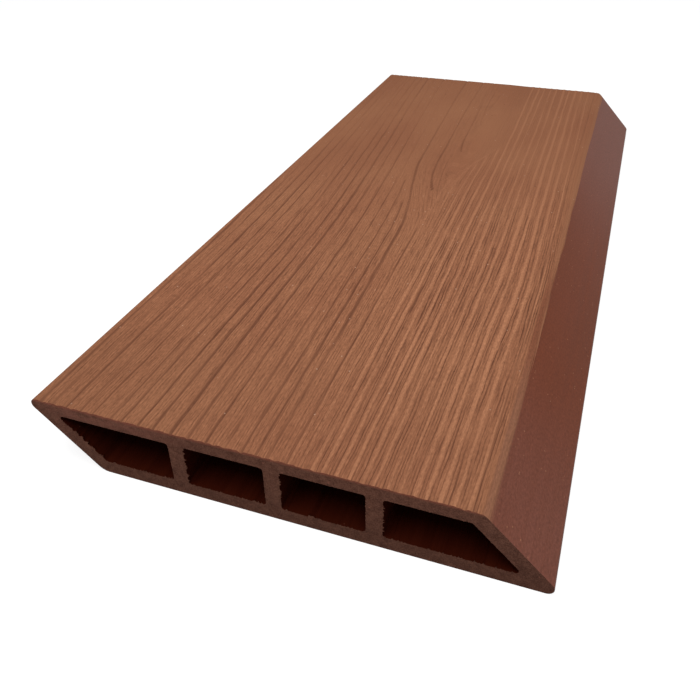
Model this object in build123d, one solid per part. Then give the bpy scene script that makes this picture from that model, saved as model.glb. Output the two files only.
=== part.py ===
"""Composite fence board: one hollow extruded plank whose two long edges slant the same way.

Millimetres, +Z up. The board lies on its back with its grained face upwards. Y runs along the board and X across
it. The origin is the middle of the board's box, on the floor it lies on.
"""

import os
from math import radians, sin, tan

from build123d import *

# Driving dimensions
BOARD_LENGTH = 345.0  # from sawn end to sawn end
BOARD_WIDTH = 150.0  # over the two rounded tips
BOARD_THICKNESS = 22.5  # from back to face
EDGE_ANGLE = 45.0  # slope of the long edges, in degrees from the faces
FACE_WALL = 4.3  # wall of the face and of the back
EDGE_WALL = 4.4  # wall of a slanting edge, square to its slope
RIB_COUNT = 3
RIB_THICKNESS = 4.5
RIB_PITCH = 28.5  # from rib centre to rib centre
TIP_RADIUS = 2.0  # rounding of the two sharp long edges
SHOULDER_RADIUS = 5.0  # rounding of the two blunt long edges
CHAMBER_RADIUS = 1.0  # rounding in the corners of the chambers

EDGE_SLOPE = radians(EDGE_ANGLE)


def lean(height):
    """How far the slanting edge moves across the board over this height."""
    return height / tan(EDGE_SLOPE)


def slanted_outline(flat_width, height):
    """Parallelogram about the section's centre: the face lies to the left of the back, and both are flat_width wide."""
    face_left = -(flat_width + lean(height)) / 2
    back_left = face_left + lean(height)
    return Polygon(
        (back_left, -height / 2),
        (back_left + flat_width, -height / 2),
        (face_left + flat_width, height / 2),
        (face_left, height / 2),
        align=None,
    )


def sharp_face_width():
    """Width of the face between its sharp corners, so that the rounded tips lie BOARD_WIDTH apart."""
    lost_at_a_tip = TIP_RADIUS / tan(EDGE_SLOPE / 2) - TIP_RADIUS
    return BOARD_WIDTH + 2 * lost_at_a_tip - lean(BOARD_THICKNESS)


def outer_outline():
    """The board's outside, with blunt shoulders and fine tips."""
    outline = slanted_outline(sharp_face_width(), BOARD_THICKNESS)
    outline = fillet(outline.vertices().sort_by(Axis.X)[1:3], SHOULDER_RADIUS)
    corners = outline.vertices().sort_by(Axis.X)
    return fillet([corners[0], corners[-1]], TIP_RADIUS)


def chambers():
    """The hollows: the space inside the walls, parted by the upright ribs."""
    hollow_width = sharp_face_width() - 2 * EDGE_WALL / sin(EDGE_SLOPE)
    hollow = slanted_outline(hollow_width, BOARD_THICKNESS - 2 * FACE_WALL)
    for place in GridLocations(RIB_PITCH, 0, RIB_COUNT, 1):
        hollow -= place * Rectangle(RIB_THICKNESS, BOARD_THICKNESS)
    return fillet(hollow.vertices(), CHAMBER_RADIUS)


def fence_board():
    """The section run along Y, half of its length to each side of the origin."""
    section = outer_outline() - chambers()
    on_the_floor = Plane.XZ * Pos(0, BOARD_THICKNESS / 2)
    return extrude(on_the_floor * section, amount=BOARD_LENGTH / 2, both=True)


board = fence_board()
board.label = "fence_board"

os.makedirs("parts", exist_ok=True)
export_step(board, "parts/fence_board.step")
print("fence_board volume", round(board.volume), "mm3")
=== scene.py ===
"""Composite fence board with its finishes: wood grain pressed into a brushed face, smooth slanting edges,
sawn ends with torn fibres round the four chambers, and dark chamber walls.

Metres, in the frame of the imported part: X across the board, Y along it and Z up, with its back at Z = 0.
The grain and the finishes are given in millimetres, because that is the size at which they are read.
"""

import random
from functools import cache
from math import exp, pi, sin, tan

import bmesh
import bpy
import numpy
from mathutils import Matrix, Vector, noise


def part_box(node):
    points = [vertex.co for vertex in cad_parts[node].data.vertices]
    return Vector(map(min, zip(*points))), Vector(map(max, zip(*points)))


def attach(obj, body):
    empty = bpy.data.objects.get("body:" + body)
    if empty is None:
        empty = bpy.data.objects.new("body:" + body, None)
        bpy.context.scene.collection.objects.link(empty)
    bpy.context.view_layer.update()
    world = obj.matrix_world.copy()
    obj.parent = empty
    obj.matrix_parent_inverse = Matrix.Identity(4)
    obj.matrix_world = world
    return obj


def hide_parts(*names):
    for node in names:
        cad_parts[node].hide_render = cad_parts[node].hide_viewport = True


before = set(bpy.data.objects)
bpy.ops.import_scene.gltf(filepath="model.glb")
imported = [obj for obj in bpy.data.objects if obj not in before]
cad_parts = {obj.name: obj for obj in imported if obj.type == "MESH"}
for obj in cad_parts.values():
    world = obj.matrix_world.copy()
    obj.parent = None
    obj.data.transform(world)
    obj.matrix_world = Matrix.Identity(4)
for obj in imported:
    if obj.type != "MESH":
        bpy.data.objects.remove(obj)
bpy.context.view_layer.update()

# Section of the board, as in the part's source
MM = 0.001
EDGE_SLOPE = pi / 4  # slope of the long edges, from the faces
FACE_WALL = 4.3 * MM
EDGE_WALL = 4.4 * MM
RIB_COUNT = 3
RIB_THICKNESS = 4.5 * MM
RIB_PITCH = 28.5 * MM
TIP_RADIUS = 2.0 * MM
SHOULDER_RADIUS = 5.0 * MM
CHAMBER_RADIUS = 1.0 * MM

low_corner, high_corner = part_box("fence_board")
BOARD_WIDTH = high_corner.x - low_corner.x
BOARD_LENGTH = high_corner.y - low_corner.y
BOARD_THICKNESS = high_corner.z - low_corner.z
EDGE_LEAN = BOARD_THICKNESS / tan(EDGE_SLOPE)
FLAT_WIDTH = BOARD_WIDTH + 2 * TIP_RADIUS * (1 / tan(EDGE_SLOPE / 2) - 1) - EDGE_LEAN
FACE_LEFT = -(FLAT_WIDTH + EDGE_LEAN) / 2  # where the face and the left edge would meet if they were sharp
FRONT = low_corner.y
REAR = high_corner.y

# Fineness of the mesh
COLUMN = 0.32 * MM  # step of the face's mesh across the grain
ROWS = 190  # steps of the face's mesh along the grain
ROW_CROWDING = 0.45  # how much the rows are drawn from the middle towards the two ends
RIM_STEP = 0.20 * MM  # step of the chambers' rims
TIP_STEPS = 10
SHOULDER_STEPS = 8
CHAMBER_STEPS = 6
SHARP_ANGLE = 1.0  # faces that meet at more than this, in radians, show a crease
END_REACH = 1e-6  # a vertex this close to an end's plane belongs to that end

# Places of the finishes among the board's materials
SKIN, SAWN_END, CHAMBER_WALL = range(3)

# Brushed zone: it wraps the two edges of the face and stops a little way down the slopes
BRUSHED_PAST_SHOULDER = 1.1 * MM
BRUSHED_PAST_TIP = 0.9 * MM

# Grain, in millimetres: across from the sharp left edge of the face, and along from the middle of the board
GRAIN_SEED = 12
LINE_STRENGTHS = (0.7, 1.1)
LINE_WIDTHS = (0.8, 1.25)
LINE_PAST_END = 1.0  # a groove or ridge shows this far past its ends
LINE_FADE_IN = 5.0  # and has its full strength this far from its near end
LINE_FADE_OUT = 7.0  # and from its far end
GROOVE_FIRST = 6.2
GROOVE_PITCH = 4.56
GROOVE_JITTER = 0.8
GROOVE_COUNT = 17
GROOVE_WIDTH = 0.37
GROOVE_DEPTH = 0.32
PINCHED_GROOVES = {13: 16.0, 14: -8.0, 16: -30.0}  # grooves that stop short of the flame, and where
FLAME_TIPS = ((74.1, 2.0, 2.2), (75.0, 51.6, 1.6), (76.8, 91.0, 0.9))  # its grooves: across, along, strength
HOOK_BEND = 1.2  # how far the tip of such a groove bends aside
HOOK_LENGTH = 7.0  # over which the bend dies out
HOOK_FADE = 22.0  # over which the groove gets fainter
HOOK_REST = 0.45  # what is then left of its strength
RIDGE_FIRST = 80.9
RIDGE_PITCH = 3.65
RIDGE_JITTER = 0.4
RIDGE_COUNT = 15
RIDGE_WIDTH = 0.54
RIDGE_HEIGHT = 0.20
CUT_RIDGES = {0: 24.0, 1: 35.0, 2: 45.0, 3: 56.0, 4: 66.0}  # ridges that stop at the flame, and where
FLAME_RIDGES = ((75.9, 0.35, 10.0, 66.0), (81.5, 0.14, 5.0, 50.0))  # line, drift, and from where to where
GOUGE = (93.0, -97.0, -72.0)  # line, and from where to where
SHOULDER_GROOVE = 131.0  # where the flat of the face ends
MARK_REACH = 6.0  # a mark is worked out this many widths to each side
MARK_CORE = 0.8  # share of a mark's depth in its narrow core
MARK_SHOULDER = 2.2  # how much wider the soft rest of it is
LEAST_CROWDING = 0.3
RIDGES_START = 79.0  # the left of the face is grooved, the right is ridged
RIDGES_FULL = 93.0
FLAME_ACROSS = 75.0  # middle of the flame that opens towards the rear
FLAME_WIDTH = 14.0  # over which the lines of the left side give way to those of the right side
FLAME_PLAIN = (-10.0, 30.0)  # along the board, where the inside of the flame turns plain
GRAIN_SLANT = 0.0175  # how far the grain drifts to the right over each millimetre towards the front
SLANT_FROM = -90.0  # where the slant has moved nothing
LEAN_FROM = -67.0  # the grain also leans unevenly from here to the front end
LEAN_LENGTH = 84.0  # over which the leans below are reached
SIDE_LEAN = -1.0
MIDDLE_LEAN = (3.0, 68.0, 22.0)  # what the middle leans more: how far, its place and its width
RIGHT_LEAN = (-1.6, 95.0, 127.0)  # what the right leans more: how far, and from where to where
LINES = numpy.arange(-30.0, 190.0, 0.25)  # grain lines whose places are worked out along each row
FINE_PITCH = 0.95  # from one fine line to the next, between the ridges and between the grooves
FLAT_BAND = 0.6 * MM  # height below the face over which the grain fades out
CHIP_REACH = 1.0  # how far from the front end the face is chipped
CHIP_DEPTH = 0.55

# How far the flame pushes grain lines aside, where along the board that starts and is full, and its middle
# and width across the grain
WIDE_PUSH = (14.0, -80.0, 220.0, 48.0, 32.0)  # of the whole left side
NARROW_PUSH = (10.0, -40.0, 40.0, 77.0, 9.0)  # of the lines to the left of the flame
RIGHT_PUSH = (7.0, 0.0, 75.0, FLAME_ACROSS, 13.0)  # of the lines to the right of the flame

# Uneven drift of the grain: how far, its length across and along the board, and its place in the noise
WANDERS = ((0.45, 11.0, 75.0, 3.7), (0.20, 4.0, 17.0, 9.1), (0.14, 2.5, 6.0, 14.3))

# Torn fibres on the chambers' rims
FIBRE_SEED = 5
FIBRE_LENGTH = 0.95 * MM
FIBRE_SPACING = 0.45 * MM
CLUMP_SPACING = 2.6 * MM  # from one clump of fibres to the next
FIBRE_DEPTH = 1.3 * MM  # how far into the chamber a torn fibre fades out
FIBRE_SPREAD = (0.5, 1.4)  # between which the fibres' lengths differ
FIBRE_LEAST = 0.06
FIBRE_MOST = 0.9
RAGGED_RIM = 0.18  # how ragged most of a rim is
RAGGED_FLOOR = 0.80
RAGGED_LEFT_WALL = 1.2


def smoothstep(low, high, value):
    """0 below low, 1 above high, and an even curve between them."""
    share = min(max((value - low) / (high - low), 0.0), 1.0)
    return share * share * (3 - 2 * share)


def bell(value, middle, width):
    """1 at the middle, falling to nothing on both sides."""
    return exp(-((value - middle) / width) ** 2)


# Grain of the face
def lean_of_grain(across, along):
    """Sideways drift of the grain: an even slant, and an uneven lean towards the front end."""
    more, middle, width = MIDDLE_LEAN
    right_more, right_from, right_full = RIGHT_LEAN
    lean = SIDE_LEAN + more * bell(across, middle, width)
    lean += right_more * smoothstep(right_from, right_full, across)
    return GRAIN_SLANT * (SLANT_FROM - along) + lean * max(LEAN_FROM - along, 0.0) / LEAN_LENGTH


def wander(across, along):
    """Small uneven drift that keeps the lines from running dead straight."""
    return sum(far * noise.noise((across / wide, along / long, place)) for far, wide, long, place in WANDERS)


def pushed(push, along):
    """How far the flame pushes each grain line aside in a row."""
    far, start, full, middle, width = push
    return far * smoothstep(start, full, along) * numpy.exp(-((LINES - middle) / width) ** 2)


@cache
def left_places(along):
    """Where the grain lines of the left side lie in a row: the flame pushes them to the left."""
    return LINES - pushed(WIDE_PUSH, along) - pushed(NARROW_PUSH, along)


@cache
def right_places(along):
    """Where the grain lines of the right side lie in a row: the flame pushes them to the right."""
    return LINES + pushed(RIGHT_PUSH, along)


def left_flow(across, along):
    """The grain line that a point of the left side lies on."""
    return float(numpy.interp(across, left_places(along), LINES))


def right_flow(across, along):
    """The grain line that a point of the right side lies on."""
    return float(numpy.interp(across, right_places(along), LINES))


class GrainLine:
    """One groove or ridge: the line it follows, its size, and the stretch of the board that it shows on."""

    def __init__(self, line, strength=1.0, width=1.0, near=-1000.0, far=1000.0, hook=0.0, drift=0.0):
        self.line = line
        self.strength = strength
        self.width = width
        self.near = near
        self.far = far
        self.hook = hook
        self.drift = drift

    def past_tip(self, along):
        """How far a place along the board lies past the near end of this line."""
        return max(along - self.near, 0.0)

    def shows(self, along):
        """How much of it is left at this place along the board."""
        whole = smoothstep(self.near - LINE_PAST_END, self.near + LINE_FADE_IN, along)
        whole *= smoothstep(self.far + LINE_PAST_END, self.far - LINE_FADE_OUT, along)
        if self.hook:
            whole *= HOOK_REST + (1 - HOOK_REST) * exp(-self.past_tip(along) / HOOK_FADE)
        return whole

    def distance(self, line, along):
        """How far a point on a grain line is from the middle of this one."""
        bend = self.hook * exp(-self.past_tip(along) / HOOK_LENGTH)
        return line - self.line - bend - self.drift * (along - self.near)


def even_lines(first, pitch, jitter, count, dice):
    """A row of grain lines at a rough pitch, each with its own strength and width."""
    return [GrainLine(first + pitch * place + dice.uniform(-jitter, jitter), dice.uniform(*LINE_STRENGTHS),
                      dice.uniform(*LINE_WIDTHS)) for place in range(count)]


def left_grooves(dice):
    """The grooves of the left side, with the hooked ones that start in the flame."""
    lines = even_lines(GROOVE_FIRST, GROOVE_PITCH, GROOVE_JITTER, GROOVE_COUNT, dice)
    for pinched, stop in PINCHED_GROOVES.items():
        lines[pinched].far = stop
    for across, along, strength in FLAME_TIPS:
        line = left_flow(across - lean_of_grain(across, along), along)
        lines.append(GrainLine(line, strength, width=1.1, near=along, hook=HOOK_BEND))
    return lines


def right_ridges(dice):
    """The ridges of the right side, with those that drift along the flame."""
    lines = even_lines(RIDGE_FIRST, RIDGE_PITCH, RIDGE_JITTER, RIDGE_COUNT, dice)
    for cut, stop in CUT_RIDGES.items():
        lines[cut].far = stop
    for line, drift, near, far in FLAME_RIDGES:
        lines.append(GrainLine(line, strength=0.9, near=near, far=far, drift=drift))
    return lines


grain_dice = random.Random(GRAIN_SEED)
grooves = left_grooves(grain_dice)
ridges = right_ridges(grain_dice)
gouge = GrainLine(GOUGE[0], width=0.9, near=GOUGE[1], far=GOUGE[2])
shoulder_groove = GrainLine(SHOULDER_GROOVE, strength=0.6, width=0.7)


def crowding(flow_at, across, along):
    """How many grain lines lie in a millimetre at a point: more than one where the flame squeezes them."""
    return max(flow_at(across + 0.5, along) - flow_at(across - 0.5, along), LEAST_CROWDING)


def strongest(lines, line, along, width, crowd=1.0):
    """The largest mark that any of these grain lines makes at a point: a narrow one with soft shoulders."""
    best = 0.0
    for mark in lines:
        distance = mark.distance(line, along) / crowd
        if abs(distance) < MARK_REACH * width:
            reach = width * mark.width
            soft = bell(distance, 0.0, MARK_SHOULDER * reach)
            profile = MARK_CORE * bell(distance, 0.0, reach) + (1 - MARK_CORE) * soft
            best = max(best, mark.strength * mark.shows(along) * profile)
    return best


def groove_strength(across, along, line):
    """How strong the grooves are at a point: uneven, and fainter towards the rear and the left edge."""
    uneven = 0.86 + 0.55 * noise.noise((line / 3.0, along / 42.0, 21.0))
    to_rear = 1.0 - 0.4 * smoothstep(0.0, 110.0, along)
    from_left = 0.85 + 0.15 * smoothstep(8.0, 45.0, across)
    return uneven * to_rear * from_left


def ridge_strength(across, along, line):
    """How strong the ridges are at a point: broken here and there, and fainter beside the flame."""
    broken = 0.92 + 0.5 * noise.noise((line / 2.6, along / 34.0, 33.0))
    broken *= 0.5 + 0.5 * smoothstep(78.0, 100.0, across)
    return min(max(broken, 0.3), 1.1)


def chipping(across, along):
    """How much of the face is chipped off at a point beside the front end."""
    chip = noise.noise((across / 1.6, along / 9.0, 71.0)) + 0.15
    return max(chip, 0.0) * smoothstep(CHIP_REACH, 0.0, along - FRONT / MM)


def grain_at(across, along):
    """Grain line, groove, ridge, plainness and height in millimetres, at a point of the face."""
    small_drift = wander(across, along)
    drifted = across - lean_of_grain(across, along) + small_drift
    left = left_flow(drifted, along)
    right = right_flow(drifted, along)
    ridged = smoothstep(RIDGES_START, RIDGES_FULL, across)
    groove = strongest(grooves, left, along, GROOVE_WIDTH, crowding(left_flow, drifted, along))
    groove *= groove_strength(across, along, left) * (1.0 - ridged)
    groove = max(groove, strongest([gouge], right, along, GROOVE_WIDTH))
    groove = max(groove, strongest([shoulder_groove], across + 0.3 * small_drift, along, GROOVE_WIDTH))
    ridge = strongest(ridges, right, along, RIDGE_WIDTH, crowding(right_flow, drifted, along))
    ridge *= ridge_strength(across, along, right)
    height = -RIDGE_HEIGHT * ridged * (1.0 - ridge) - GROOVE_DEPTH * groove
    height -= CHIP_DEPTH * chipping(across, along)
    blend = smoothstep(FLAME_ACROSS, FLAME_ACROSS + FLAME_WIDTH, across)
    flow = left + (right - left) * blend
    plain = 4.0 * blend * (1.0 - blend) * smoothstep(*FLAME_PLAIN, along)
    return flow, groove, ridge, plain, min(height, 0.0)


# Shape of the board
def corner_arc(mesh, before, corner, after, radius, steps):
    """Rounds one corner of an outline that lies across the board, with an arc spun about its centre."""
    to_before = (before - corner).normalized()
    to_after = (after - corner).normalized()
    half_angle = to_before.angle(to_after) / 2
    start = mesh.verts.new(corner + to_before * radius / tan(half_angle))
    centre = corner + (to_before + to_after).normalized() * radius / sin(half_angle)
    spun = bmesh.ops.spin(mesh, geom=[start], cent=centre, axis=(0, -1, 0), dvec=(0, 0, 0),
                          angle=pi - 2 * half_angle, steps=steps, use_duplicate=False)
    end = [item for item in spun["geom_last"] if isinstance(item, bmesh.types.BMVert)][0]
    return start, end


def rounded_outline(mesh, corners, radii, steps):
    """A closed outline with rounded corners, at the front end. Returns its straight sides, in order."""
    arcs = []
    for place, corner in enumerate(corners):
        before = corners[place - 1]
        after = corners[(place + 1) % len(corners)]
        arcs.append(corner_arc(mesh, before, corner, after, radii[place], steps[place]))
    sides = []
    for place, (start, end) in enumerate(arcs):
        sides.append(mesh.edges.new((end, arcs[(place + 1) % len(arcs)][0])))
    return sides


def at_front(across, height):
    """A point of the section, at the front end."""
    return Vector((across, FRONT, height))


def outer_corners():
    """Sharp corners of the section, anticlockwise from the back's left: blunt, sharp, blunt, sharp."""
    back_left = FACE_LEFT + EDGE_LEAN
    return [at_front(back_left, 0), at_front(back_left + FLAT_WIDTH, 0),
            at_front(FACE_LEFT + FLAT_WIDTH, BOARD_THICKNESS), at_front(FACE_LEFT, BOARD_THICKNESS)]


def chamber_corners():
    """Sharp corners of each chamber, anticlockwise from its lower left, and from left to right."""
    floor = FACE_WALL
    ceiling = BOARD_THICKNESS - FACE_WALL
    slanted_wall = EDGE_WALL / sin(EDGE_SLOPE)

    def left_wall(height):
        return FACE_LEFT + (BOARD_THICKNESS - height) / tan(EDGE_SLOPE) + slanted_wall

    def right_wall(height):
        return left_wall(height) + FLAT_WIDTH - 2 * slanted_wall

    rib_places = [(place - (RIB_COUNT - 1) / 2) * RIB_PITCH for place in range(RIB_COUNT)]
    lefts = [(left_wall(floor), left_wall(ceiling))]
    lefts += [(rib + RIB_THICKNESS / 2,) * 2 for rib in rib_places]
    rights = [(rib - RIB_THICKNESS / 2,) * 2 for rib in rib_places]
    rights += [(right_wall(floor), right_wall(ceiling))]
    chambers = []
    for (left_low, left_high), (right_low, right_high) in zip(lefts, rights):
        chambers.append([at_front(left_low, floor), at_front(right_low, floor),
                         at_front(right_high, ceiling), at_front(left_high, ceiling)])
    return chambers


def cut_side(mesh, side, step):
    """Divides one straight side of an outline into even steps."""
    cuts = max(int(side.calc_length() / step), 1)
    bmesh.ops.subdivide_edges(mesh, edges=[side], cuts=cuts)


def edge_depth(across, height):
    """How far a point of the section lies inside the nearest slanting edge."""
    from_left = (across - FACE_LEFT - (BOARD_THICKNESS - height) / tan(EDGE_SLOPE)) * sin(EDGE_SLOPE)
    return min(from_left, FLAT_WIDTH * sin(EDGE_SLOPE) - from_left)


def wall_depth(across, height):
    """How far a point of the section lies inside the board's outline."""
    return min(height, BOARD_THICKNESS - height, edge_depth(across, height))


def on_outside(point):
    """Whether a point of the surface is on the outside, and not on a chamber's wall."""
    return wall_depth(point.x, point.z) < FACE_WALL / 2


def brushed_margin(point):
    """How far a point of the outside lies within the brushed zone, down from the face's two edges."""
    drop = BOARD_THICKNESS - point.z
    if point.x > 0:
        return SHOULDER_RADIUS * (1 - sin(EDGE_SLOPE)) + BRUSHED_PAST_SHOULDER * sin(EDGE_SLOPE) - drop
    return TIP_RADIUS * (1 + sin(EDGE_SLOPE)) + BRUSHED_PAST_TIP * sin(EDGE_SLOPE) - drop


def runs_along(edge):
    """Whether an edge runs from end to end of the board."""
    first, second = edge.verts
    return abs(first.co.y - second.co.y) > BOARD_LENGTH / 2


def draw_outlines(mesh):
    """The outlines of the board and of its chambers, at the front end."""
    radii = [SHOULDER_RADIUS, TIP_RADIUS, SHOULDER_RADIUS, TIP_RADIUS]
    steps = [SHOULDER_STEPS, TIP_STEPS, SHOULDER_STEPS, TIP_STEPS]
    outer_sides = rounded_outline(mesh, outer_corners(), radii, steps)
    face_side = outer_sides[2]
    cut_side(mesh, face_side, COLUMN)
    for chamber in chamber_corners():
        for side in rounded_outline(mesh, chamber, [CHAMBER_RADIUS] * 4, [CHAMBER_STEPS] * 4):
            cut_side(mesh, side, RIM_STEP)


def draw_to_length(mesh):
    """Draws the outlines out to the rear end."""
    drawn = bmesh.ops.extrude_edge_only(mesh, edges=mesh.edges[:])["geom"]
    moved = [item for item in drawn if isinstance(item, bmesh.types.BMVert)]
    bmesh.ops.translate(mesh, verts=moved, vec=(0, BOARD_LENGTH, 0))


def cut_rows(mesh):
    """Cuts the upper half of the outside into rows, closest at the two ends, where the sawn edges show."""
    long_edges = [edge for edge in mesh.edges if runs_along(edge)]
    upper = [edge for edge in long_edges if edge.verts[0].co.z > BOARD_THICKNESS / 2]
    grained = [edge for edge in upper if on_outside(edge.verts[0].co)]
    bmesh.ops.subdivide_edges(mesh, edges=grained, cuts=ROWS - 1)
    for vertex in mesh.verts:
        share = vertex.co.y / REAR
        vertex.co.y = REAR * (share + ROW_CROWDING * sin(pi * share) / pi)


def cut_chamber_ends(mesh):
    """Cuts a short band at both ends of each chamber, in which its torn fibres fade out."""
    chamber_lines = [edge for edge in mesh.edges if runs_along(edge) and not on_outside(edge.verts[0].co)]
    bmesh.ops.subdivide_edges(mesh, edges=chamber_lines, cuts=2)
    band = REAR - FIBRE_DEPTH
    for vertex in mesh.verts:
        if not on_outside(vertex.co) and abs(vertex.co.y) < band:
            vertex.co.y = band if vertex.co.y > 0 else -band


def press_grain(mesh):
    """Presses the grain into the face and keeps its marks on the vertices, for the finish to follow."""
    flow_layer = mesh.verts.layers.float.new("grain_flow")
    groove_layer = mesh.verts.layers.float.new("grain_groove")
    ridge_layer = mesh.verts.layers.float.new("grain_ridge")
    plain_layer = mesh.verts.layers.float.new("grain_plain")
    margin_layer = mesh.verts.layers.float.new("brushed_margin")
    for vertex in mesh.verts:
        place = vertex.co
        if not on_outside(place):
            continue
        vertex[margin_layer] = brushed_margin(place) / MM
        flow, groove, ridge, plain, height = grain_at((place.x - FACE_LEFT) / MM, place.y / MM)
        flat = smoothstep(BOARD_THICKNESS - FLAT_BAND, BOARD_THICKNESS, place.z)
        vertex[flow_layer] = flow
        vertex[groove_layer] = groove * flat
        vertex[ridge_layer] = ridge * flat
        vertex[plain_layer] = plain
        place.z += height * MM * flat


def tear_fibres(mesh):
    """Pulls the chambers' rims into the openings in uneven tufts, most on the left walls and the floors.

    The ends are still open here, so the normals of each chamber point out of it, into the walls.
    """
    dice = random.Random(FIBRE_SEED)
    floor_line = FACE_WALL + CHAMBER_RADIUS / 2
    ceiling_line = BOARD_THICKNESS - FACE_WALL - CHAMBER_RADIUS / 2
    for vertex in mesh.verts:
        place = vertex.co
        if on_outside(place) or REAR - abs(place.y) > FIBRE_DEPTH / 2:
            continue
        inward = -Vector((vertex.normal.x, 0, vertex.normal.z)).normalized()
        ragged = RAGGED_RIM
        if place.z < floor_line:
            ragged = RAGGED_FLOOR
        elif place.z < ceiling_line and inward.x > 0.3:
            ragged = RAGGED_LEFT_WALL
        clump = 0.5 + noise.noise((place.x / CLUMP_SPACING, place.z / CLUMP_SPACING, place.y / MM))
        fine_noise = noise.noise((place.x / FIBRE_SPACING, place.z / FIBRE_SPACING, place.y / MM + 5.0))
        tuft = max(0.1 + 1.3 * fine_noise, FIBRE_LEAST)
        torn = (0.5 + 0.7 * clump) * tuft * dice.uniform(*FIBRE_SPREAD)
        vertex.co += inward * FIBRE_LENGTH * ragged * min(torn, FIBRE_MOST)


def end_edges(mesh, end):
    """The edges that lie in the plane of one end."""
    return [edge for edge in mesh.edges if all(abs(vertex.co.y - end) < END_REACH for vertex in edge.verts)]


def finish_of(face):
    """Place of a face's finish among the board's materials."""
    if abs(face.normal.y) > 0.9:
        return SAWN_END
    if on_outside(face.calc_center_median()):
        return SKIN
    return CHAMBER_WALL


def board_mesh():
    """The whole board: outlines at the front end, drawn out to length, with the ends filled last."""
    mesh = bmesh.new()
    draw_outlines(mesh)
    draw_to_length(mesh)
    cut_rows(mesh)
    cut_chamber_ends(mesh)
    bmesh.ops.recalc_face_normals(mesh, faces=mesh.faces[:])
    mesh.normal_update()
    tear_fibres(mesh)
    press_grain(mesh)
    for end in (FRONT, REAR):
        bmesh.ops.triangle_fill(mesh, use_beauty=True, edges=end_edges(mesh, end))
    bmesh.ops.recalc_face_normals(mesh, faces=mesh.faces[:])
    for face in mesh.faces:
        face.smooth = True
        face.material_index = finish_of(face)
    return mesh


# Shader maths
class Signal:
    """A value that changes over a surface. Sums and products of signals add Math nodes to their finish."""

    def __init__(self, finish, socket):
        self.finish = finish
        self.socket = socket

    def maths(self, operation, *values):
        return self.finish.node("ShaderNodeMath", {"operation": operation}, dict(enumerate(values)))

    def __add__(self, other):
        return self.maths("ADD", self, other)

    def __radd__(self, other):
        return self.maths("ADD", other, self)

    def __sub__(self, other):
        return self.maths("SUBTRACT", self, other)

    def __rsub__(self, other):
        return self.maths("SUBTRACT", other, self)

    def __mul__(self, other):
        return self.maths("MULTIPLY", self, other)

    def __rmul__(self, other):
        return self.maths("MULTIPLY", other, self)

    def __abs__(self):
        return self.maths("ABSOLUTE", self)

    def sine(self):
        return self.maths("SINE", self)

    def larger(self, other):
        return self.maths("MAXIMUM", self, other)

    def rise(self, low, high):
        """0 where the signal is at low or beyond, 1 at high or beyond, and an even curve between them."""
        sockets = {"Value": self, "From Min": low, "From Max": high}
        return self.finish.node("ShaderNodeMapRange", {"interpolation_type": "SMOOTHSTEP"}, sockets)


class Finish:
    """The nodes of one material, or of the world."""

    def __init__(self, owner):
        owner.use_nodes = True
        self.tree = owner.node_tree
        self.tree.nodes.clear()

    def node(self, kind, settings=None, sockets=None, output=0):
        """Adds a node: its settings first, then a value or a link for each of its sockets."""
        made = self.tree.nodes.new(kind)
        for name, value in (settings or {}).items():
            setattr(made, name, value)
        for name, value in (sockets or {}).items():
            if isinstance(value, Signal):
                self.tree.links.new(value.socket, made.inputs[name])
            else:
                made.inputs[name].default_value = value
        return Signal(self, made.outputs[output]) if made.outputs else None

    def attribute(self, name):
        return self.node("ShaderNodeAttribute", {"attribute_name": name}, output="Fac")

    def place(self):
        """Object coordinates in millimetres: across, along and up."""
        metres = self.node("ShaderNodeTexCoord", output="Object")
        millimetres = self.shade(metres, 1 / MM)
        return [self.node("ShaderNodeSeparateXYZ", {}, {"Vector": millimetres}, axis) for axis in range(3)]

    def point(self, across, along, up):
        return self.node("ShaderNodeCombineXYZ", {}, {"X": across, "Y": along, "Z": up})

    def noise(self, across, along, up, detail=2.0, roughness=0.5):
        """Even noise with a cell about one unit wide."""
        point = self.point(across, along, up)
        sockets = {"Vector": point, "Scale": 1.0, "Detail": detail, "Roughness": roughness}
        return self.node("ShaderNodeTexNoise", {}, sockets, "Fac")

    def specks(self, across, along, up, share, size):
        """1 in the middle of a small share of the cells of a scatter, and 0 elsewhere."""
        sockets = {"Vector": self.point(across, along, up), "Scale": 1.0}
        distance = self.node("ShaderNodeTexVoronoi", {"feature": "F1"}, sockets, "Distance")
        cell_colour = self.node("ShaderNodeTexVoronoi", {"feature": "F1"}, sockets, "Color")
        pick = self.node("ShaderNodeSeparateColor", {}, {"Color": cell_colour}, "Red")
        return distance.rise(size, size * 0.5) * pick.rise(1 - share, 1 - share * 0.8)

    def mix(self, colour, other, factor):
        """Colour where the factor is 0, the other where it is 1."""
        return self.node("ShaderNodeMix", {"data_type": "RGBA"}, {0: factor, 6: colour, 7: other}, 2)

    def shade(self, colour, factor):
        """A colour, or any vector, times a factor."""
        return self.node("ShaderNodeVectorMath", {"operation": "SCALE"}, {"Vector": colour, "Scale": factor})

    def bump(self, height):
        """Normal of a surface with a height in millimetres."""
        return self.node("ShaderNodeBump", {}, {"Strength": 1.0, "Distance": MM, "Height": height})

    def surface(self, colour, roughness, normal, specular):
        """The material's one shader."""
        sockets = {"Base Color": colour, "Roughness": roughness, "Normal": normal}
        sockets["Specular IOR Level"] = specular
        shader = self.node("ShaderNodeBsdfPrincipled", {}, sockets)
        self.node("ShaderNodeOutputMaterial", {}, {"Surface": shader})


def colour(red, green, blue):
    return (red, green, blue, 1.0)


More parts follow.
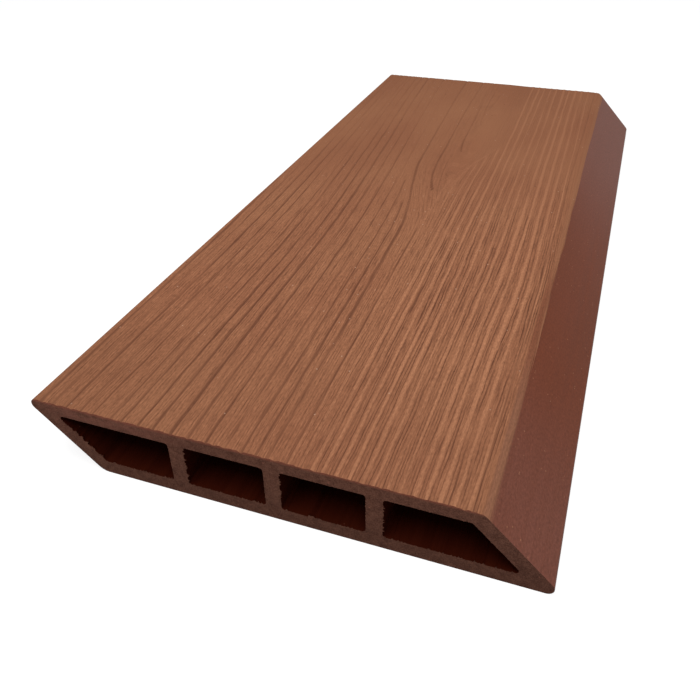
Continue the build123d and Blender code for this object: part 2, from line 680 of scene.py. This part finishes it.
# Finishes of the board
TAN = colour(0.318, 0.135, 0.069)
RED_TAN = colour(0.280, 0.112, 0.058)
RIDGE_TAN = colour(0.425, 0.187, 0.098)
GROOVE_BROWN = colour(0.118, 0.044, 0.025)
WORN_GREY = colour(0.262, 0.122, 0.078)
PALE_FIBRE = colour(0.520, 0.310, 0.210)
DARK_FIBRE = colour(0.060, 0.022, 0.013)
SKIN_BROWN = colour(0.178, 0.047, 0.022)
SKIN_DARK = colour(0.152, 0.039, 0.017)
# painted sheen: the grey that the skin takes on towards its ends
SKIN_SHEEN_GREY = colour(0.215, 0.089, 0.068)
SAWN_BROWN = colour(0.172, 0.073, 0.048)
SAWN_DARK = colour(0.082, 0.031, 0.020)
SAWN_PINK = colour(0.270, 0.100, 0.070)
SAWN_RED = colour(0.270, 0.082, 0.050)
# the chambers' own brown, partly and darkened far below the board's colour as painted shade
CHAMBER_BROWN_SHADED = colour(0.044, 0.0062, 0.0021)
CHAMBER_DARK_SHADED = colour(0.037, 0.0048, 0.0015)

SKIN_GLOSS = 0.03
SAWN_GLOSS = 0.08
CHAMBER_GLOSS = 0.02
CHAMBER_ROUGHNESS = 0.75

# Where the finishes change, from and to, in millimetres from the middle of the board and up from its back
NEAR_FRONT = (-95.0, -140.0)  # along: the brushed zone's border turns soft
OFF_FRONT = (-150.0, -105.0)  # along: the marks of the face turn clearer, and painted light makes its tone lighter
PAINTED_LIGHT_UNTIL = (60.0, -40.0)  # along: the painted light on the face ends
TO_REAR = (-75.0, 70.0)  # along: the fine marks of the face fade
PAINTED_SHADE_ALONG = (-90.0, -172.0)  # along: painted shade darkens the face's front left corner
PAINTED_SHADE_ACROSS = (0.0, -75.0)  # across: the same
HALF_BRUSHED_ALONG = (-35.0, -75.0)  # along: a half-brushed strip lies beside the shoulder
HALF_BRUSHED_MARGIN = (1.95, 1.45)  # within the brushed zone: the same
RIGHT_SIDE = (0.0, 1.0)  # across
WORN_MARGIN = (1.9, 1.1)  # within the brushed zone: its rim is worn
BORDER_ALONG = (-50.0, -75.0)  # along: the brushed zone has a thin pale border
SHEEN_FRONT = (-95.0, -165.0)  # along: painted sheen turns the skin greyer
SHEEN_REAR = (-30.0, 110.0)  # along: the same
PINK_UP = (17.0, 20.0)  # up: a pink patch on the sawn ends
PINK_RIGHT = (-18.0, -45.0)  # across: the same
PINK_LEFT = (-76.0, -62.0)  # across: the same
RED_UP = (21.3, 22.2)  # up: a red rim under the face
SAWN_PAINTED_LIGHT = (2.0, 21.0)  # up: painted light, the sawn ends get a little lighter towards the top
PAINTED_CHAMBER_SHADE = (166.0, 148.0)  # along, from both ends: painted shade, the chambers get darker deeper in
PAINTED_FLOOR_LIGHT = (5.0, 4.4)  # up: painted light, the chambers are a little lighter on their floors


def brushed_grain(finish, margin, near_front):
    """Colour, roughness and fine relief of the brushed face: fine lines that follow the pressed grain."""
    across, along = finish.place()[:2]
    groove = finish.attribute("grain_groove")
    ridge = finish.attribute("grain_ridge")
    lined = 1 - finish.attribute("grain_plain") * 0.6
    off_front = along.rise(*OFF_FRONT)
    crisp = (1 + off_front * 0.25) * (1 - along.rise(*TO_REAR) * 0.78)
    half_crisp = 0.5 + 0.5 * crisp
    wiggle = finish.noise(across * 0.5, along * 0.14, 9.0) - 0.5
    flow = finish.attribute("grain_flow") + wiggle * 0.35
    ridged = flow.rise(RIDGES_START, RIDGES_FULL)
    worn = margin.rise(*WORN_MARGIN)
    patches = finish.noise(across * 0.035, along * 0.014, 5.0)
    spread = finish.noise(flow * 0.30, along * 0.010, 2.0, detail=1.0) - 0.5
    fine = (flow * (2 * pi / FINE_PITCH) + spread * 14.0).sine()
    depth = finish.noise(flow * 0.8, along * 0.03, 6.0, detail=1.0)
    hairs = finish.noise(flow * 2.5, along * 0.10, 3.0, roughness=0.6)
    grains = finish.noise(across * 2.6, along * 0.62, 4.0, roughness=0.65)
    groove_edge = (groove + (grains - 0.5) * 1.2 * groove.rise(0.02, 0.30)).rise(0.12, 0.80)
    ridge_edge = (ridge + (grains - 0.5) * 0.35 * ridge.rise(0.02, 0.30)).rise(0.15, 0.85)
    fine_dark = fine.rise(0.05, 0.95) * (0.36 + 0.32 * ridged) + ridged * 0.10
    fine_dark *= (0.30 + depth.rise(0.35, 0.65) * 0.70) * (1 - worn * 0.6)
    hair_dark = hairs.rise(0.50, 0.28) * 0.50 * (1 - ridge_edge * 0.5)
    hair_pale = hairs.rise(0.52, 0.74) * 0.50
    tone = finish.mix(RED_TAN, TAN, patches.rise(0.25, 0.75))
    tone = finish.mix(tone, GROOVE_BROWN, fine_dark * (1 - ridge_edge * 0.9) * lined * crisp)
    tone = finish.mix(tone, GROOVE_BROWN, hair_dark * lined * crisp)
    tone = finish.mix(tone, RIDGE_TAN, (hair_pale * crisp).larger(worn * 0.35))
    tone = finish.mix(tone, RIDGE_TAN, ridge_edge * 0.66 * half_crisp)
    tone = finish.mix(tone, GROOVE_BROWN, groove_edge * 0.68 * half_crisp)
    strip = across.rise(*RIGHT_SIDE) * margin.rise(*HALF_BRUSHED_MARGIN) * along.rise(*HALF_BRUSHED_ALONG)
    strip *= (0.55 + hairs * 0.6) * (0.85 - near_front * 0.25)
    tone = finish.mix(tone, finish.mix(SKIN_BROWN, WORN_GREY, near_front * 0.6 + 0.25), strip)
    pale = finish.specks(across * 0.42, along * 0.36, 0.0, share=0.14, size=0.14)
    dark = finish.specks(across * 0.33, along * 0.24, 7.0, share=0.04, size=0.12)
    tone = finish.mix(tone, PALE_FIBRE, pale * 0.7)
    tone = finish.mix(tone, DARK_FIBRE, dark * 0.6)
    # painted light: the middle of the face's length is made lighter
    painted_light_pool = off_front * along.rise(*PAINTED_LIGHT_UNTIL) * 0.07
    # painted shade: the face's front left corner is made darker
    painted_corner_shade = across.rise(*PAINTED_SHADE_ACROSS) * along.rise(*PAINTED_SHADE_ALONG) * 0.08
    tone = finish.shade(tone, 1 + (grains - 0.5) * (1.0 - ridged * 0.2) * crisp + painted_light_pool - painted_corner_shade)
    roughness = 0.70 + hairs * 0.16
    height = (hairs * 0.09 + grains * 0.09 - fine * 0.015 * (0.3 + ridged)) * crisp + pale * 0.08
    return tone, roughness, height


def smooth_skin(finish):
    """Colour, roughness and fine relief of the extruded skin on the edges and the back, greyer towards its
    ends with a painted sheen.
    """
    across, along, up = finish.place()
    streaks = finish.noise(across * 0.55, along * 0.004, up * 0.55, detail=3.0, roughness=0.55)
    clouds = finish.noise(across * 0.05, along * 0.016, up * 0.05)
    grit = finish.noise(across * 1.8, along * 0.9, up * 1.8, roughness=0.65)
    specks = finish.specks(across * 0.8, along * 0.55, up * 0.8, share=0.14, size=0.22)
    # painted sheen: the skin turns greyer towards the front and the rear
    painted_sheen = (along.rise(*SHEEN_FRONT) * 0.6).larger(along.rise(*SHEEN_REAR) * 0.75)
    tone = finish.mix(SKIN_DARK, SKIN_BROWN, (streaks * 0.5 + clouds * 0.6).rise(0.3, 0.8))
    tone = finish.mix(tone, SKIN_SHEEN_GREY, painted_sheen * (0.35 + streaks * 0.5 + clouds * 0.5))
    tone = finish.mix(tone, RIDGE_TAN, specks * 0.5)
    tone = finish.shade(tone, 0.52 + grit * 0.96)
    roughness = 0.40 + streaks * 0.10 + grit * 0.06
    height = streaks * 0.02 + grit * 0.010 + specks * 0.03
    return tone, roughness, height


def skin_finish():
    """Outside of the board: brushed over the face and its edges, and as extruded elsewhere."""
    material = bpy.data.materials.new("composite_skin")
    finish = Finish(material)
    along = finish.place()[1]
    margin = finish.attribute("brushed_margin")
    uneven = finish.noise(0.0, along * 0.05, 8.0, detail=3.0, roughness=0.6) - 0.5
    brush_marks = finish.noise(margin * 2.6, along * 0.02, 6.0, detail=1.0) - 0.5
    ragged = margin + uneven * 0.35 + brush_marks * 1.3
    near_front = along.rise(*NEAR_FRONT)
    brushed = ragged.rise(-0.10 - near_front * 0.3, 0.12 + near_front * 0.45)
    border = ragged.rise(-0.06, 0.08) * ragged.rise(0.36, 0.16)
    border *= along.rise(*BORDER_ALONG) * (1 - near_front)
    grain_tone, grain_roughness, grain_height = brushed_grain(finish, margin, near_front)
    skin_tone, skin_roughness, skin_height = smooth_skin(finish)
    tone = finish.mix(finish.mix(skin_tone, grain_tone, brushed), RIDGE_TAN, border * 0.6)
    roughness = skin_roughness + (grain_roughness - skin_roughness) * brushed
    height = skin_height + (grain_height - skin_height) * brushed
    finish.surface(tone, roughness, finish.bump(height), SKIN_GLOSS)
    return material


def sawn_finish():
    """Sawn ends: mottled fibres with flecks and pits, faint saw marks, a pink patch, a red rim, and painted
    light that grows towards the top.
    """
    material = bpy.data.materials.new("composite_sawn")
    finish = Finish(material)
    across, along, up = finish.place()
    mottle = finish.noise(across * 0.55, along * 0.5, up * 0.55, detail=4.0, roughness=0.65)
    crumbs = finish.noise(across * 2.4, along * 2.0, up * 2.4, detail=3.0, roughness=0.65)
    saw_marks = finish.noise((across * 0.6 - up) * 1.5, (across + up * 0.6) * 0.10, 2.0)
    flecks = finish.specks(across * 0.55, along * 0.1, up * 0.55, share=0.10, size=0.20)
    pits = finish.specks(across * 0.5, along * 0.1, up * 0.5 + 40.0, share=0.10, size=0.18)
    cloud = finish.noise(across * 0.25, 3.0, up * 0.5, detail=3.0, roughness=0.6)
    pink_patch = up.rise(*PINK_UP) * across.rise(*PINK_RIGHT) * across.rise(*PINK_LEFT)
    pink_patch *= cloud.rise(0.30, 0.55)
    tone = finish.mix(SAWN_DARK, SAWN_BROWN, (mottle * 0.6 + crumbs * 0.8).rise(0.50, 0.90))
    tone = finish.mix(tone, SAWN_PINK, pink_patch * 0.40)
    tone = finish.mix(tone, SAWN_RED, up.rise(*RED_UP) * 0.7)
    tone = finish.mix(tone, SAWN_PINK, flecks * 0.6)
    tone = finish.mix(tone, SAWN_DARK, pits * 0.6)
    # painted light: the sawn ends are made lighter towards the top
    painted_light_up = 0.95 + up.rise(*SAWN_PAINTED_LIGHT) * 0.19
    tone = finish.shade(tone, (0.70 + saw_marks * 0.28 + crumbs * 0.32) * painted_light_up)
    height = mottle * 0.22 + crumbs * 0.12 + saw_marks * 0.10 - pits * 0.15
    finish.surface(tone, 0.74 + crumbs * 0.16, finish.bump(height), SAWN_GLOSS)
    return material


def chamber_finish():
    """Chamber walls: extruded skin with faint lengthwise die lines and a little dust, in a brown darkened by
    painted shade.
    """
    material = bpy.data.materials.new("composite_chamber")
    finish = Finish(material)
    across, along, up = finish.place()
    streaks = finish.noise(across * 0.5, along * 0.01, up * 0.5)
    dust = finish.specks(across * 0.45, along * 0.45, up * 0.45, share=0.05, size=0.14)
    tone = finish.mix(CHAMBER_DARK_SHADED, CHAMBER_BROWN_SHADED, streaks.rise(0.3, 0.7))
    tone = finish.mix(tone, SAWN_PINK, dust * 0.3)
    # painted shade: the chamber walls get darker away from the openings
    painted_shade_inside = 1 - abs(along).rise(*PAINTED_CHAMBER_SHADE) * 0.75
    # painted light: the chamber floors are a little lighter than the other walls
    painted_light_floor = 0.82 + up.rise(*PAINTED_FLOOR_LIGHT) * 0.14
    tone = finish.shade(tone, painted_shade_inside * painted_light_floor)
    finish.surface(tone, CHAMBER_ROUGHNESS, finish.bump(streaks * 0.02), CHAMBER_GLOSS)
    return material


# The board
def mesh_data(name, mesh):
    """Turns a finished bmesh into the data of an object."""
    data = bpy.data.meshes.new(name)
    mesh.to_mesh(data)
    mesh.free()
    return data


def add_object(name, data):
    """A new object in the scene, at the origin."""
    made = bpy.data.objects.new(name, data)
    bpy.context.scene.collection.objects.link(made)
    return made


def fence_board():
    """Builds the board's mesh, gives each face its finish and makes the piece that stands for the solid."""
    data = mesh_data("fence_board_grained", board_mesh())
    data.set_sharp_from_angle(angle=SHARP_ANGLE)
    for material in (skin_finish(), sawn_finish(), chamber_finish()):
        data.materials.append(material)
    piece = add_object("fence_board_grained", data)
    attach(piece, "root")
    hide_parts("fence_board")


# Stage
FLOOR_SIZE = 6.0
FLOOR_SHADE = 0.30  # how much light the floor throws back
FLOOR_WHITE = 0.82  # what the floor adds where the camera or a reflection sees it
AMBIENT = 0.40
LAMP_PLACE = Vector((0.0, -0.30, 0.80))
LAMP_AIM = Vector((0.0, -0.05, 0.0))
LAMP_SIZE = 0.7
LAMP_POWER = 5.4


def seen_by_eye(finish):
    """1 for the camera and for what a reflection or clear surface shows, 0 for light falling on the board."""
    paths = [finish.node("ShaderNodeLightPath", output=name)
             for name in ("Is Camera Ray", "Is Glossy Ray", "Is Transmission Ray")]
    return paths[0].larger(paths[1]).larger(paths[2])


def white_floor():
    """A floor that looks white and keeps the board's shadow."""
    mesh = bmesh.new()
    bmesh.ops.create_grid(mesh, x_segments=1, y_segments=1, size=FLOOR_SIZE / 2)
    data = mesh_data("floor", mesh)
    material = bpy.data.materials.new("floor_white")
    finish = Finish(material)
    matt = finish.node("ShaderNodeBsdfDiffuse", {}, {"Color": colour(FLOOR_SHADE, FLOOR_SHADE, FLOOR_SHADE)})
    glow = finish.node("ShaderNodeEmission", {}, {"Strength": seen_by_eye(finish) * FLOOR_WHITE})
    both = finish.node("ShaderNodeAddShader", {}, {0: matt, 1: glow})
    finish.node("ShaderNodeOutputMaterial", {}, {"Surface": both})
    data.materials.append(material)
    floor = add_object("floor", data)


def white_surroundings():
    """A world that looks white and lights the board evenly from all sides."""
    world = bpy.data.worlds.new("surroundings")
    finish = Finish(world)
    strength = AMBIENT + seen_by_eye(finish) * (1 - AMBIENT)
    light = finish.node("ShaderNodeBackground", {}, {"Color": colour(1, 1, 1), "Strength": strength})
    finish.node("ShaderNodeOutputWorld", {}, {"Surface": light})
    bpy.context.scene.world = world


def soft_lamp():
    """One broad lamp above the front half of the board."""
    data = bpy.data.lights.new("lamp_above", "AREA")
    data.shape = "SQUARE"
    data.size = LAMP_SIZE
    data.energy = LAMP_POWER
    lamp = add_object("lamp_above", data)
    lamp.location = LAMP_PLACE
    lamp.rotation_euler = (LAMP_AIM - LAMP_PLACE).to_track_quat("-Z", "Y").to_euler()


# Camera, fitted to the straight edges of the board in the photo
CAMERA_PLACE = Vector((0.0668, -0.2920, 0.1544))
CAMERA_AIM = Vector((0.0050, -0.1248, 0.0254))
CAMERA_ROLL = 0.0143
CAMERA_LENS = 37.50
CAMERA_SENSOR = 36.0
CAMERA_CLIP = 0.01


def photo_camera():
    """The camera at the photo's viewing angle."""
    data = bpy.data.cameras.new("camera")
    data.lens = CAMERA_LENS
    data.sensor_width = CAMERA_SENSOR
    data.clip_start = CAMERA_CLIP
    camera = add_object("camera", data)
    look = CAMERA_AIM - CAMERA_PLACE
    turn = Matrix.Rotation(CAMERA_ROLL, 4, look) @ look.to_track_quat("-Z", "Y").to_matrix().to_4x4()
    camera.matrix_world = Matrix.Translation(CAMERA_PLACE) @ turn
    bpy.context.scene.camera = camera


fence_board()
white_floor()
white_surroundings()
soft_lamp()
photo_camera()
bpy.context.scene.view_settings.view_transform = "Standard"
